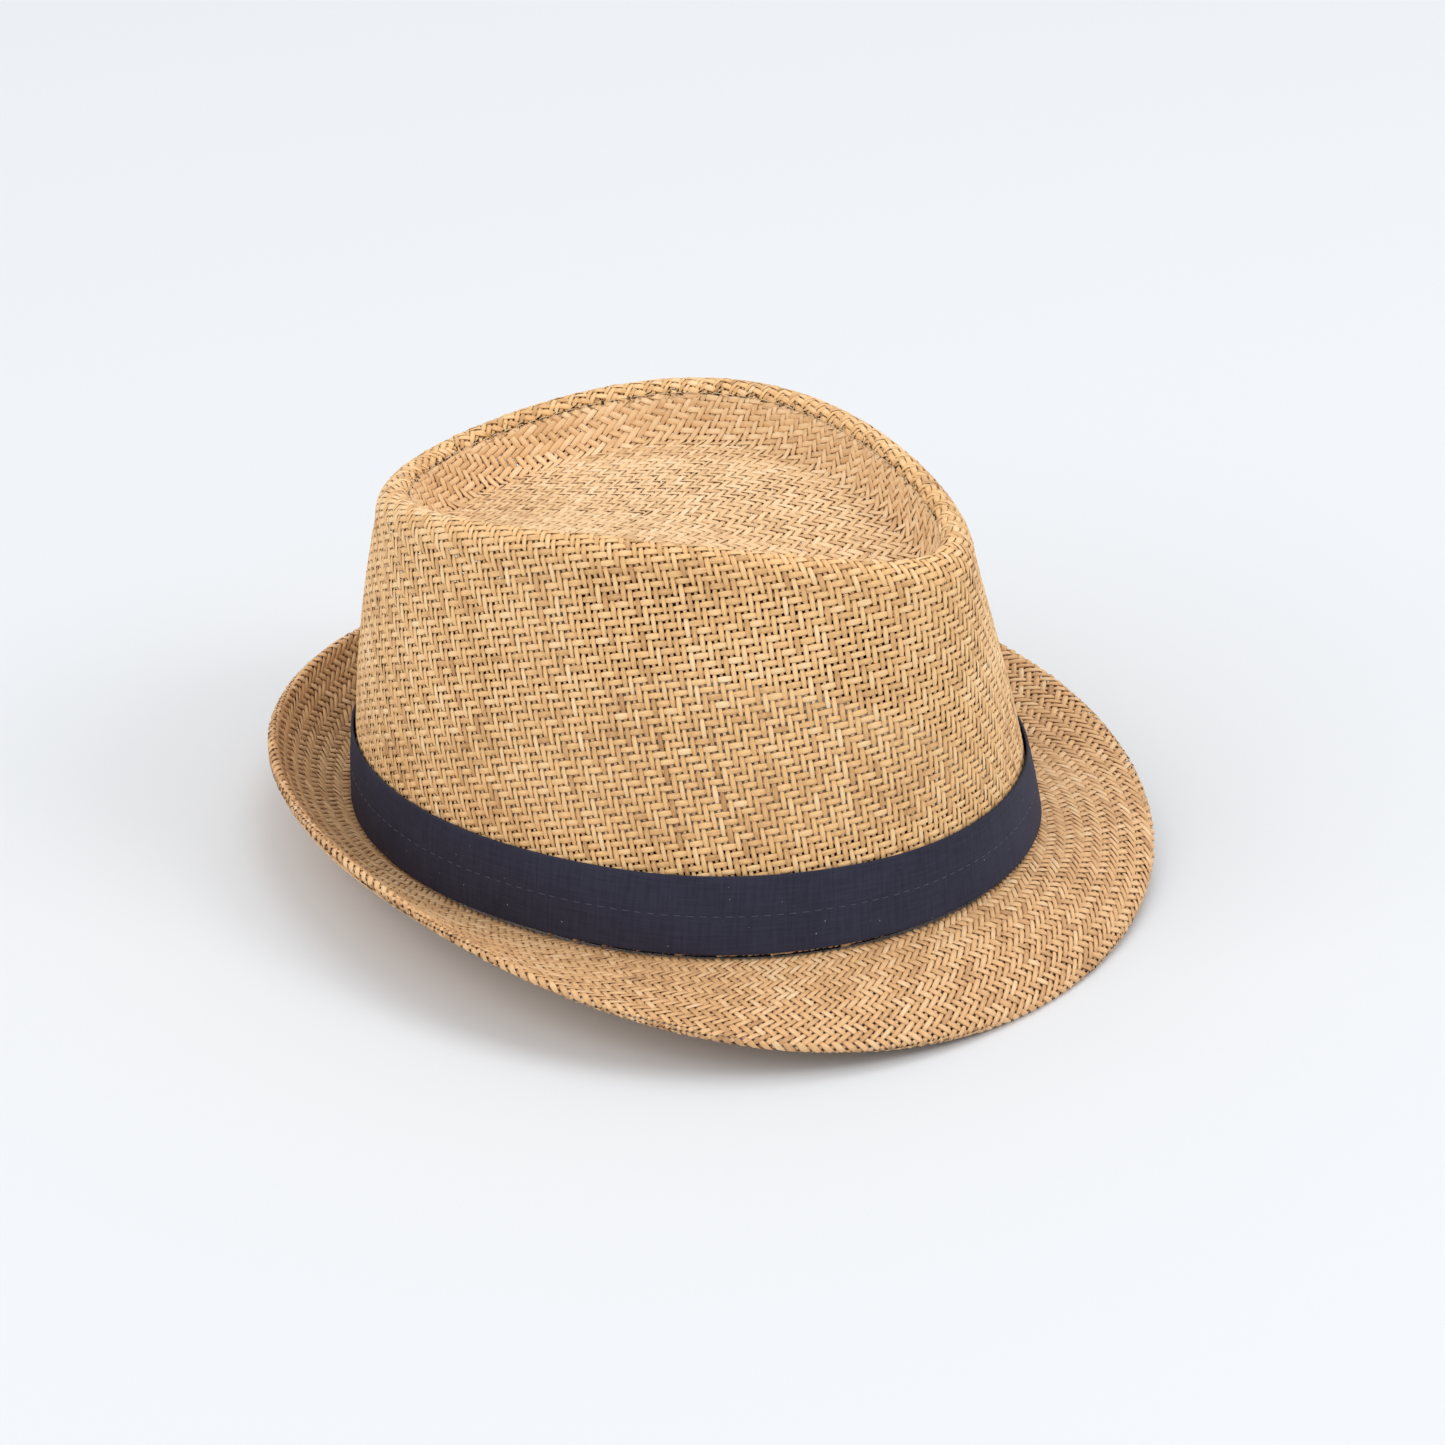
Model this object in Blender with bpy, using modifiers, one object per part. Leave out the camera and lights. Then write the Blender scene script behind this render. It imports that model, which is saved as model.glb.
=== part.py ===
"""Woven straw trilby: teardrop crown, snapped brim, cotton band and inner sweatband.

The hat is modelled in its own frame, with the foot of the crown on z = 0, its front at -Y and the
wearer's left at +X. An empty then tips it back a little and lowers it until the front of the brim
and the fold behind the crown both rest on the ground.
"""

from math import cos, pi, radians, sin

import bmesh
import bpy
from mathutils import Vector

MM = 0.001

# Head opening: the outer foot of the crown wall is an oval, slightly fuller at its four corners.
HALF_LENGTH = 105.5 * MM
HALF_WIDTH = 84.5 * MM
OVAL_TAPER = 0.03
OVAL_FULLNESS = 0.012

# Rim of the crown: a teardrop, narrow at the front.
RIM_HALF_LENGTH = 91.0 * MM
RIM_HALF_WIDTH = 55.0 * MM
RIM_CENTRE_Y = -7.0 * MM
RIM_TAPER = 0.37
RIM_HEIGHT = 110.0 * MM
RIM_BACK_DROP = 4.6 * MM
RIM_END_DROP = 9.5 * MM
SHOULDER_OUT = 6.5 * MM
SHOULDER_DROP = 9.0 * MM
WALL_BULGE = 1.6
WALL_BULGE_BACK = 0.25

# Dish inside the rim.
FLOOR_HALF_LENGTH = 80.0 * MM
FLOOR_HALF_WIDTH = 43.5 * MM
FLOOR_CENTRE_Y = -6.0 * MM
FLOOR_TAPER = 0.33
DISH_DEPTH = 15.0 * MM
FLOOR_CROWN = 3.0 * MM

# Brim: its width along the cloth, and the mean slope that curls it up behind and down in front.
BRIM_WIDTH = 34.5 * MM
SLOPE_MEAN = 17.5
SLOPE_BACK = 40.0
SLOPE_SIDE = 10.5
SLOPE_QUARTER = -1.0
CURL_START = 0.35

# Cloths and trims.
GAP = 0.3 * MM
STRAW_THICKNESS = 1.4 * MM
BRIM_CLOTH = 1.0 * MM
INTERLINING = 0.6 * MM
BRIM_CORE = 1.4 * MM
EDGE_WIRE_RADIUS = 0.4 * MM
BRIM_FOLD_DEPTH = 1.5 * MM
FLANGE_HEIGHT = 9.0 * MM
BEND_RADIUS = 1.5 * MM
SEAM_INSIDE_RIM = 0.24
SEAM_WIDTH = 0.055
SEAM_TAPE_REACH = 0.11
TAPE_THICKNESS = 0.5 * MM
BAND_HEIGHT = 22.5 * MM
BAND_THICKNESS = 0.8 * MM
BAND_FOOT = 1.8 * MM
BAND_FLARE = 0.8 * MM
SWEATBAND_HEIGHT = 32.0 * MM
SWEATBAND_THICKNESS = 0.8 * MM
SWEATBAND_FOOT = -2.0 * MM
THREAD_RADIUS = 0.25 * MM

# Stance on the ground.
TIP_BACK = 4.51
STAND_HEIGHT = 11.15 * MM
CENTRE_SHIFT = 2.9 * MM

SEGMENTS = 48
BACK = pi / 2
LEFT = 0.0


def ring_angles():
    return [2 * pi * k / SEGMENTS for k in range(SEGMENTS)]


def oval(angle):
    """Outer foot of the crown wall."""
    full = 1 + OVAL_FULLNESS * sin(2 * angle) ** 2
    x = HALF_WIDTH * cos(angle) * (1 - OVAL_TAPER * sin(angle)) * full
    return Vector((x, HALF_LENGTH * sin(angle) * full, 0))


def rim(angle):
    """Top of the ridge round the dish."""
    x = RIM_HALF_WIDTH * cos(angle) * (1 + RIM_TAPER * sin(angle))
    y = RIM_CENTRE_Y + RIM_HALF_LENGTH * sin(angle)
    z = RIM_HEIGHT - RIM_BACK_DROP * sin(angle) - RIM_END_DROP * sin(angle) ** 2
    return Vector((x, y, z))


def floor_edge(angle):
    """Edge of the dish's floor."""
    x = FLOOR_HALF_WIDTH * cos(angle) * (1 + FLOOR_TAPER * sin(angle))
    y = FLOOR_CENTRE_Y + FLOOR_HALF_LENGTH * sin(angle)
    return Vector((x, y, rim(angle).z - DISH_DEPTH))


def outward(curve, angle):
    """Horizontal unit normal of a closed curve, pointing out."""
    step = 0.001
    along = curve(angle + step) - curve(angle - step)
    return Vector((along.y, -along.x, 0)).normalized()


def shoulder(angle):
    point = rim(angle) + SHOULDER_OUT * outward(rim, angle)
    point.z -= SHOULDER_DROP
    return point


def wall(angle, height, out=0.0):
    """A point on the outer face of the crown wall, moved out by the given distance."""
    top = shoulder(angle)
    share = min(max(height / top.z, 0.0), 1.0)
    bulge = WALL_BULGE + WALL_BULGE_BACK * sin(angle)
    point = oval(angle).lerp(top, share ** bulge)
    point.z = height
    return point + out * outward(oval, angle)


def crest(angle, turn):
    """The rounded shoulder: turn 0 is the top of the wall and turn 1 the top of the ridge."""
    point = rim(angle) + SHOULDER_OUT * cos(turn * BACK) * outward(rim, angle)
    point.z -= SHOULDER_DROP * (1 - sin(turn * BACK))
    return point


def dish_side(angle, share):
    """The inner slope from the ridge, share 0, down to the floor's edge, share 1."""
    high, low = rim(angle), floor_edge(angle)
    upper = high.lerp(low, 0.6)
    upper.z = high.z
    lower = high.lerp(low, 0.5)
    lower.z = low.z
    back = 1 - share
    return (back ** 3 * high + 3 * back ** 2 * share * upper
            + 3 * back * share ** 2 * lower + share ** 3 * low)


def dish_floor(angle, share):
    """The floor, a little domed: share 0 is its edge and share 1 its middle."""
    edge = floor_edge(angle)
    middle = Vector((0, FLOOR_CENTRE_Y, RIM_HEIGHT - DISH_DEPTH - RIM_END_DROP / 2))
    point = edge.lerp(middle, share)
    point.z += FLOOR_CROWN * (1 - (1 - share) ** 2)
    return point


def brim_slope(angle, share):
    mean = (SLOPE_MEAN + SLOPE_BACK * sin(angle) + SLOPE_SIDE * cos(2 * angle)
            + SLOPE_QUARTER * sin(3 * angle))
    return radians(mean) * (CURL_START + 2 * (1 - CURL_START) * share)


def brim_section(angle, share, lift):
    """A point of the brim: share 0 at the crown and 1 at the edge, lifted off its middle plane."""
    steps = 24
    across, up = 0.0, -BRIM_FOLD_DEPTH
    for k in range(steps):
        slope = brim_slope(angle, share * (k + 0.5) / steps)
        across += BRIM_WIDTH * share / steps * cos(slope)
        up += BRIM_WIDTH * share / steps * sin(slope)
    slope = brim_slope(angle, share)
    across -= lift * sin(slope)
    up += lift * cos(slope)
    return across, up


def from_section(angle, across, up):
    point = oval(angle) + across * outward(oval, angle)
    point.z = up
    return point


def brim_edge_roll(angle, turn):
    """The turned edge round the wire: turn 0 on top, 1 underneath."""
    across, up = brim_section(angle, 1.0, 0.0)
    slope = brim_slope(angle, 1.0)
    radius = (BRIM_CORE + BRIM_CLOTH) / 2
    over, along = radius * cos(turn * pi), radius * sin(turn * pi)
    across += along * cos(slope) - over * sin(slope)
    up += along * sin(slope) + over * cos(slope)
    return from_section(angle, across, up)


def flat_material(name, colour, roughness):
    """One plain Principled material."""
    material = bpy.data.materials.new(name)
    material.use_nodes = True
    shader = material.node_tree.nodes["Principled BSDF"]
    shader.inputs["Base Color"].default_value = (*colour, 1)
    shader.inputs["Roughness"].default_value = roughness
    shader.inputs["Metallic"].default_value = 0.0
    return material


def add_object(name, data, material):
    data.materials.append(material)
    piece = bpy.data.objects.new(name, data)
    hat.objects.link(piece)
    piece.parent = stance
    return piece


def loft(name, rows, closed):
    """A sheet through rows of points; closed rows are rings, and a last row of one is a pole."""
    mesh = bpy.data.meshes.new(name)
    shape = bmesh.new()
    rings = [[shape.verts.new(point) for point in row] for row in rows]
    for low, high in zip(rings, rings[1:]):
        count = len(low)
        for k in range(count if closed else count - 1):
            following = (k + 1) % count
            if len(high) == 1:
                shape.faces.new((low[k], low[following], high[0]))
            else:
                shape.faces.new((low[k], low[following], high[following], high[k]))
    shape.to_mesh(mesh)
    shape.free()
    mesh.shade_smooth()
    return mesh


def cloth(name, rows, thickness, material, closed=True):
    """A sheet given its thickness, half on each side of the rows."""
    piece = add_object(name, loft(name, rows, closed), material)
    shell = piece.modifiers.new("Thickness", "SOLIDIFY")
    shell.thickness = thickness
    shell.offset = 0.0
    shell.use_even_offset = True
    return piece


def ring_rows(function, places):
    return [[function(angle, place) for angle in ring_angles()] for place in places]


def spread(first, last, count):
    return [first + (last - first) * k / count for k in range(count + 1)]


def thread_ring(name, points, radius, material):
    """A closed round cord through the points."""
    curve = bpy.data.curves.new(name, "CURVE")
    curve.dimensions = "3D"
    curve.bevel_depth = radius
    curve.bevel_resolution = 0
    spline = curve.splines.new("POLY")
    spline.points.add(len(points) - 1)
    for knot, point in zip(spline.points, points):
        knot.co = (*point, 1)
    spline.use_cyclic_u = True
    return add_object(name, curve, material)


def make_crown_side():
    """The wall: foot, shoulder, ridge and the first millimetres down the inner slope."""
    straw = flat_material("crown_straw", (0.72, 0.47, 0.23), 0.65)
    middle = -STRAW_THICKNESS / 2
    foot = 0.9 * MM
    rows = []
    for share in spread(0.0, 0.94, 6):
        rows.append([wall(a, foot + (shoulder(a).z - foot) * share, middle) for a in ring_angles()])
    rows += ring_rows(crest_inside, spread(0.1, 1.0, 4))
    rows += ring_rows(dish_inside, (SEAM_INSIDE_RIM / 2, SEAM_INSIDE_RIM))
    cloth("crown_side", rows, STRAW_THICKNESS, straw)


def crest_inside(angle, turn):
    """The middle of the cloth over the crest."""
    point = crest(angle, turn)
    point -= STRAW_THICKNESS / 2 * cos(turn * BACK) * outward(rim, angle)
    point.z -= STRAW_THICKNESS / 2 * sin(turn * BACK)
    return point


def dish_inside(angle, share, depth=STRAW_THICKNESS / 2):
    """A point under the dish's face, at the given depth square to its section."""
    step = 0.01
    along = dish_side(angle, min(share + step, 1)) - dish_side(angle, max(share - step, 0))
    inward = -outward(rim, angle)
    run = along.dot(inward)
    normal = Vector((0, 0, run)) - along.z * inward
    return dish_side(angle, share) - depth * normal.normalized()


def make_crown_tip():
    """The dished top, from the seam down the slope and across the floor."""
    straw = flat_material("tip_straw", (0.78, 0.54, 0.30), 0.65)
    half = STRAW_THICKNESS / 2
    rows = ring_rows(dish_inside, spread(SEAM_INSIDE_RIM + SEAM_WIDTH, 1.0, 4))
    for share in (0.2, 0.5, 0.8):
        rows.append([dish_floor(a, share) - Vector((0, 0, half)) for a in ring_angles()])
    rows.append([dish_floor(0, 1.0) - Vector((0, 0, half))])
    cloth("crown_tip", rows, STRAW_THICKNESS, straw)


def make_tip_seam():
    """The thread in the seam and the binding tape under it."""
    tape = flat_material("seam_tape", (0.70, 0.62, 0.50), 0.85)
    thread = flat_material("straw_thread", (0.80, 0.66, 0.45), 0.6)
    seam = SEAM_INSIDE_RIM + SEAM_WIDTH / 2
    points = [dish_inside(a, seam) for a in ring_angles()]
    thread_ring("crown_tip_thread", points, THREAD_RADIUS, thread)
    depth = STRAW_THICKNESS + 2 * GAP + TAPE_THICKNESS / 2
    reach = spread(seam - SEAM_TAPE_REACH, seam + SEAM_TAPE_REACH, 2)
    rows = ring_rows(lambda a, s: dish_inside(a, s, depth), reach)
    cloth("crown_tip_tape", rows, TAPE_THICKNESS, tape)


def wall_patch(name, middle, width, low, high, out, thickness, material):
    """A strip on the wall's face, centred on an angle, from one height to another."""
    radius = oval(middle).length
    half = width / 2 / radius
    angles = spread(middle - half, middle + half, 3)
    rows = [[wall(a, z, out) for a in angles] for z in spread(low, high, 5)]
    cloth(name, rows, thickness, material, closed=False)


def make_crown_back_tape():
    """The tape down the centre-back seam, inside the wall."""
    tape = flat_material("back_tape", (0.70, 0.62, 0.50), 0.85)
    out = -(STRAW_THICKNESS + GAP + TAPE_THICKNESS / 2 + 0.2 * MM)
    wall_patch("crown_back_tape", BACK, 11 * MM, FLANGE_HEIGHT + 2 * MM, 84 * MM, out, TAPE_THICKNESS, tape)


def make_brim_top():
    """The upper cloth: turned up inside the crown, out over the brim and round the edge wire."""
    straw = flat_material("brim_straw", (0.74, 0.49, 0.25), 0.65)
    lift = (BRIM_CORE + BRIM_CLOTH) / 2
    inside = -(STRAW_THICKNESS + GAP + BRIM_CLOTH / 2)
    rows = ring_rows(lambda a, z: wall_upright(a, z, inside), (FLANGE_HEIGHT, 1.4 * MM))
    for turn in (0.33, 0.67):
        across = inside + BEND_RADIUS * (1 - cos(turn * BACK))
        down = 1.4 * MM - BEND_RADIUS * sin(turn * BACK)
        rows.append([from_section(a, across, down) for a in ring_angles()])
    rows += ring_rows(lambda a, s: from_section(a, *brim_section(a, s, lift)), spread(0.02, 1.0, 5))
    rows += ring_rows(brim_edge_roll, (0.25, 0.5, 0.75, 1.0))
    piece = cloth("brim_top", rows, BRIM_CLOTH, straw)
    cut_contact(piece)


def cut_contact(piece):
    """A shallow flat where the brim bears on the ground: in front, and at the fold behind."""
    cut = piece.modifiers.new("Contact", "BOOLEAN")
    cut.operation = "DIFFERENCE"
    cut.solver = "EXACT"
    cut.object = ground


def make_brim_under():
    """The lower cloth, from the fold at the crown to the turned edge."""
    straw = flat_material("under_straw", (0.68, 0.44, 0.22), 0.65)
    drop = -(BRIM_CORE + BRIM_CLOTH) / 2
    last = 1 - GAP / BRIM_WIDTH
    rows = ring_rows(lambda a, s: from_section(a, *brim_section(a, s, drop)), spread(0.0, last, 5))
    piece = cloth("brim_under", rows, BRIM_CLOTH, straw)
    cut_contact(piece)


def make_brim_core():
    """The stiff interlining between the cloths and the spring wire in the edge."""
    felt = flat_material("interlining", (0.85, 0.84, 0.80), 0.9)
    steel = flat_material("edge_wire", (0.55, 0.55, 0.57), 0.35)
    last = 1 - 1.6 * MM / BRIM_WIDTH
    rows = ring_rows(lambda a, s: from_section(a, *brim_section(a, s, 0.0)), spread(0.03, last, 4))
    cloth("brim_interlining", rows, INTERLINING, felt)
    points = [from_section(a, *brim_section(a, 1.0, 0.0)) for a in ring_angles()]
    thread_ring("brim_edge_wire", points, EDGE_WIRE_RADIUS, steel)


def flange_inner():
    """How far in from the wall's face the turned-up edge of the brim reaches."""
    return STRAW_THICKNESS + GAP + BRIM_CLOTH


def make_stay_tape():
    tape = flat_material("stay_tape", (0.30, 0.29, 0.28), 0.8)
    out = -(flange_inner() + GAP + TAPE_THICKNESS / 2)
    rows = ring_rows(lambda a, z: wall_upright(a, z, out), (1.0 * MM, FLANGE_HEIGHT + 1 * MM))
    cloth("head_stay_tape", rows, TAPE_THICKNESS, tape)


def wall_upright(angle, height, out):
    """The wall's face carried straight down below its foot."""
    point = wall(angle, max(height, 0.0), out)
    point.z = height
    return point


def sweatband_face():
    return -(flange_inner() + 2 * GAP + TAPE_THICKNESS)


def make_sweatband():
    """The inner band with its back joint, its row of stitches and two blank labels."""
    cotton = flat_material("sweatband_cotton", (0.05, 0.05, 0.07), 0.85)
    thread = flat_material("sweatband_thread", (0.10, 0.10, 0.13), 0.6)
    middle = sweatband_face() - SWEATBAND_THICKNESS / 2
    top = SWEATBAND_FOOT + SWEATBAND_HEIGHT
    rows = ring_rows(lambda a, z: wall_upright(a, z, middle), spread(SWEATBAND_FOOT, top, 3))
    cloth("sweatband", rows, SWEATBAND_THICKNESS, cotton)
    inner = sweatband_face() - SWEATBAND_THICKNESS - GAP
    points = [wall_upright(a, 0.6 * MM, inner - THREAD_RADIUS) for a in ring_angles()]
    thread_ring("sweatband_thread", points, THREAD_RADIUS, thread)
    out = inner - TAPE_THICKNESS / 2 - 0.2 * MM
    wall_patch("sweatband_joint", BACK, 16 * MM, 2.0 * MM, top - 2 * MM, out, TAPE_THICKNESS, cotton)


def make_labels():
    """A blank care label and a blank size tab, tucked against the sweatband."""
    satin = flat_material("label_satin", (0.90, 0.89, 0.86), 0.4)
    out = sweatband_face() - SWEATBAND_THICKNESS - GAP - 0.45 * MM
    left_back = radians(62)
    wall_patch("care_label", left_back, 26 * MM, 2.0 * MM, 44 * MM, out, 0.3 * MM, satin)
    right_back = radians(112)
    wall_patch("size_label", right_back, 14 * MM, 2.0 * MM, 20 * MM, out, 0.3 * MM, satin)


def make_hat_band():
    """The cotton band, standing off a little at its foot, with its joint and row of stitches."""
    cotton = flat_material("band_cotton", (0.022, 0.024, 0.05), 0.8)
    thread = flat_material("band_thread", (0.03, 0.033, 0.065), 0.6)

    def face(angle, share, out):
        flare = BAND_FLARE * (1 - share)
        return wall(angle, BAND_FOOT + BAND_HEIGHT * share, GAP + flare + out)

    middle = BAND_THICKNESS / 2
    rows = ring_rows(lambda a, share: face(a, share, middle), spread(0.0, 1.0, 3))
    cloth("hat_band", rows, BAND_THICKNESS, cotton)
    out = BAND_THICKNESS + GAP + THREAD_RADIUS
    points = [face(a, 0.5, out) for a in ring_angles()]
    thread_ring("hat_band_thread", points, THREAD_RADIUS, thread)
    beyond = out + THREAD_RADIUS + GAP + BAND_THICKNESS / 2 + 0.1 * MM
    half = 8 * MM / HALF_WIDTH
    angles = spread(LEFT - half, LEFT + half, 3)
    rows = [[face(a, share, beyond) for a in angles] for share in spread(0.0, 1.0, 3)]
    cloth("hat_band_joint", rows, BAND_THICKNESS, cotton, closed=False)


def clear_scene():
    for item in list(bpy.data.objects):
        bpy.data.objects.remove(item, do_unlink=True)


def make_stance():
    """The empty that tips the hat back and sets it on the ground."""
    empty = bpy.data.objects.new("stance", None)
    hat.objects.link(empty)
    empty.rotation_euler = (radians(-TIP_BACK), 0, 0)
    empty.location = (0, CENTRE_SHIFT, STAND_HEIGHT)
    return empty


def make_ground():
    """The cutter whose top is the ground plane."""
    bpy.ops.mesh.primitive_cube_add(size=1.0)
    block = bpy.context.object
    block.name = "ground_cutter"
    mesh = block.data
    depth = 0.05
    for vertex in mesh.vertices:
        vertex.co.x *= 0.5
        vertex.co.y *= 0.5
        vertex.co.z = (vertex.co.z - 0.5) * depth
    for owner in list(block.users_collection):
        owner.objects.unlink(block)
    cutters.objects.link(block)
    block.hide_render = True
    block.display_type = "WIRE"
    return block


clear_scene()
hat = bpy.data.collections.new("fedora_hat")
cutters = bpy.data.collections.new("cutters")
bpy.context.scene.collection.children.link(hat)
bpy.context.scene.collection.children.link(cutters)
stance = make_stance()
ground = make_ground()

make_crown_side()
make_crown_tip()
make_tip_seam()
make_crown_back_tape()
make_brim_top()
make_brim_under()
make_brim_core()
make_stay_tape()
make_sweatband()
make_labels()
make_hat_band()
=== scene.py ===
"""Looks for the woven straw trilby: every straw cloth is built strand by strand round the CAD part."""

from math import cos, pi, radians, sin

import bpy
import numpy as np
from mathutils import Matrix, Vector


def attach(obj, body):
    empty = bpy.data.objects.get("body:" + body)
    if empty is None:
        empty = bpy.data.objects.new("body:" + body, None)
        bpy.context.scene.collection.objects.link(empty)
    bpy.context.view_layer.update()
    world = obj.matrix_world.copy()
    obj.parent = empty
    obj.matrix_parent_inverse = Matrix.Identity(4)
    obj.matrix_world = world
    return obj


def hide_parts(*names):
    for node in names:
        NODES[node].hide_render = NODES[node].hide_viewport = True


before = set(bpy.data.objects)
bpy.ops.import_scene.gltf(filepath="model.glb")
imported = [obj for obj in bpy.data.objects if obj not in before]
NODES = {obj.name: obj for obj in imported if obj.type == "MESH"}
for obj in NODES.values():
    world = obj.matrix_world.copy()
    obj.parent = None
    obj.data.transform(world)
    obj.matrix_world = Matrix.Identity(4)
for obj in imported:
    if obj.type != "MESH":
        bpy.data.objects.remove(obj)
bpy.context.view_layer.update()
MM = 0.001
rng = np.random.RandomState(57)

# ---- The hat's shape, as in the CAD source; lengths in metres, angles round the hat from its left.
HALF_LENGTH, HALF_WIDTH = 105.5 * MM, 84.5 * MM
OVAL_TAPER, OVAL_FULLNESS = 0.03, 0.012
RIM_HALF_LENGTH, RIM_HALF_WIDTH, RIM_CENTRE_Y = 91 * MM, 55 * MM, -7 * MM
RIM_TAPER, RIM_HEIGHT, RIM_BACK_DROP, RIM_END_DROP = 0.37, 110 * MM, 4.6 * MM, 9.5 * MM
SHOULDER_OUT, SHOULDER_DROP = 6.5 * MM, 9 * MM
WALL_BULGE, WALL_BULGE_BACK = 1.6, 0.25
FLOOR_HALF_LENGTH, FLOOR_HALF_WIDTH, FLOOR_CENTRE_Y = 80 * MM, 43.5 * MM, -6 * MM
FLOOR_TAPER, DISH_DEPTH, FLOOR_CROWN = 0.33, 15 * MM, 3 * MM
BRIM_WIDTH = 34.5 * MM
SLOPE_MEAN, SLOPE_BACK, SLOPE_SIDE, SLOPE_QUARTER, CURL_START = 17.5, 40, 10.5, -1, 0.35
GAP, STRAW, BRIM_CLOTH, BRIM_CORE = 0.3 * MM, 1.4 * MM, 1 * MM, 1.4 * MM
BRIM_FOLD_DEPTH = 1.5 * MM
SEAM_LINE = 0.2675
BAND_HEIGHT, BAND_THICKNESS, BAND_FOOT, BAND_FLARE = 22.5 * MM, 0.8 * MM, 1.8 * MM, 0.8 * MM
SWEAT_HEIGHT, SWEAT_THICKNESS, SWEAT_FOOT = 32 * MM, 0.8 * MM, -2 * MM
SWEAT_SEAM_SHARE, SWEAT_ROUND, TIP_SEAM_ROUND = 0.081, 0.575, 0.46
SWEAT_FACE = -(STRAW + GAP + BRIM_CLOTH + 2 * GAP + 0.5 * MM)
TIP_BACK, STAND_HEIGHT, CENTRE_SHIFT = 4.51, 11.15 * MM, 2.9 * MM
BACK, FRONT = pi / 2, -pi / 2
STANCE = Matrix.Translation((0, CENTRE_SHIFT, STAND_HEIGHT)) @ Matrix.Rotation(radians(-TIP_BACK), 4, "X")


def vec(x, y, z):
    return np.stack(np.broadcast_arrays(x, y, z), axis=-1).astype(float)


def unit(v):
    return v / np.maximum(np.linalg.norm(v, axis=-1, keepdims=True), 1e-12)


def lerp(a, b, t):
    return a + (b - a) * np.asarray(t)[..., None]


def oval(a):
    full = 1 + OVAL_FULLNESS * np.sin(2 * a) ** 2
    wide = HALF_WIDTH * np.cos(a) * (1 - OVAL_TAPER * np.sin(a))
    return vec(wide * full, HALF_LENGTH * np.sin(a) * full, 0)


def rim(a):
    s = np.sin(a)
    return vec(RIM_HALF_WIDTH * np.cos(a) * (1 + RIM_TAPER * s), RIM_CENTRE_Y + RIM_HALF_LENGTH * s,
               RIM_HEIGHT - RIM_BACK_DROP * s - RIM_END_DROP * s ** 2)


def floor_edge(a):
    s = np.sin(a)
    return vec(FLOOR_HALF_WIDTH * np.cos(a) * (1 + FLOOR_TAPER * s), FLOOR_CENTRE_Y + FLOOR_HALF_LENGTH * s,
               rim(a)[..., 2] - DISH_DEPTH)


def outward(curve, a):
    along = curve(a + 0.001) - curve(a - 0.001)
    return unit(vec(along[..., 1], -along[..., 0], 0))


def crest(a, turn):
    point = rim(a) + SHOULDER_OUT * np.cos(turn * BACK)[..., None] * outward(rim, a)
    point[..., 2] -= SHOULDER_DROP * (1 - np.sin(turn * BACK))
    return point


def wall(a, height, out=0.0):
    """The outer face of the crown wall, carried straight down below its foot."""
    a, height, out = np.broadcast_arrays(np.asarray(a, float), height, out)
    top = crest(a, np.zeros_like(a))
    share = np.clip(height / top[..., 2], 0, 1)
    point = lerp(oval(a), top, share ** (WALL_BULGE + WALL_BULGE_BACK * np.sin(a)))
    point[..., 2] = height
    return point + out[..., None] * outward(oval, a)


def dish_side(a, t):
    high, low = rim(a), floor_edge(a)
    upper, lower = lerp(high, low, np.full_like(a, 0.6)), lerp(high, low, np.full_like(a, 0.5))
    upper[..., 2], lower[..., 2] = high[..., 2], low[..., 2]
    t = np.asarray(t)[..., None]
    u = 1 - t
    return u ** 3 * high + 3 * u ** 2 * t * upper + 3 * u * t ** 2 * lower + t ** 3 * low


def dish_floor(a, t):
    point = lerp(floor_edge(a), vec(0 * a, FLOOR_CENTRE_Y, RIM_HEIGHT - DISH_DEPTH - RIM_END_DROP / 2), t)
    point[..., 2] += FLOOR_CROWN * (1 - (1 - t) ** 2)
    return point


def brim_slope(a, share):
    mean = SLOPE_MEAN + SLOPE_BACK * np.sin(a) + SLOPE_SIDE * np.cos(2 * a) + SLOPE_QUARTER * np.sin(3 * a)
    return np.radians(mean) * (CURL_START + 2 * (1 - CURL_START) * share)


def brim_plane(a, share):
    """Where the brim's middle plane is, across and up, and its slope there."""
    across, up = np.zeros_like(a), np.full_like(a, -BRIM_FOLD_DEPTH)
    steps = 24
    for k in range(steps):
        slope = brim_slope(a, share * (k + 0.5) / steps)
        across = across + BRIM_WIDTH * share / steps * np.cos(slope)
        up = up + BRIM_WIDTH * share / steps * np.sin(slope)
    return across, up, brim_slope(a, share)


def from_section(a, across, up):
    point = oval(a) + np.asarray(across)[..., None] * outward(oval, a)
    point[..., 2] = up
    return point


def brim(a, share, lift):
    across, up, slope = brim_plane(a, share)
    return from_section(a, across - lift * np.sin(slope), up + lift * np.cos(slope))


def brim_roll(a, turn, radius):
    """The turned edge: turn 0 on top of the brim, 1 underneath."""
    across, up, slope = brim_plane(a, np.ones_like(a))
    over, along = radius * np.cos(turn * pi), radius * np.sin(turn * pi)
    return from_section(a, across + along * np.cos(slope) - over * np.sin(slope),
                        up + along * np.sin(slope) + over * np.cos(slope))


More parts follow.
